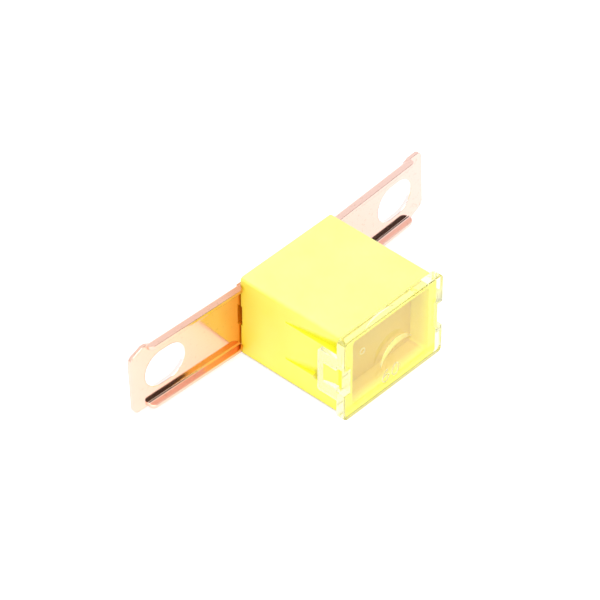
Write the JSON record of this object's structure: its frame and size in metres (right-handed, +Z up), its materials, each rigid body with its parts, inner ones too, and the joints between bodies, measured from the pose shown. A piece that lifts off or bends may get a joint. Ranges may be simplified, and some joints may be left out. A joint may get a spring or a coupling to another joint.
{
  "type": "cartridge fuse",
  "caption": "Bolt-in automotive cartridge fuse: a copper link in a yellow moulded box with a clear clip-on cover, its two slotted legs spreading behind it.",
  "frame": {"origin": "on the surface it lies on, under the centre of the bounding box", "axes": "+X along the two legs, +Y from the window to the legs, +Z up through the housing's thickness"},
  "size_m": [0.0536, 0.0196, 0.0127],
  "materials": {
    "housing_plastic": "satin moulded yellow",
    "clear_plastic": "clear, polished",
    "copper": "bright stamped copper",
    "tin": "dull tin"
  },
  "bodies": {
    "root": {"housing": "housing_plastic", "rear_plate": "housing_plastic", "cover": "clear_plastic", "fuse_link": "copper", "tin_pill": "tin"}
  },
  "joints": []
}
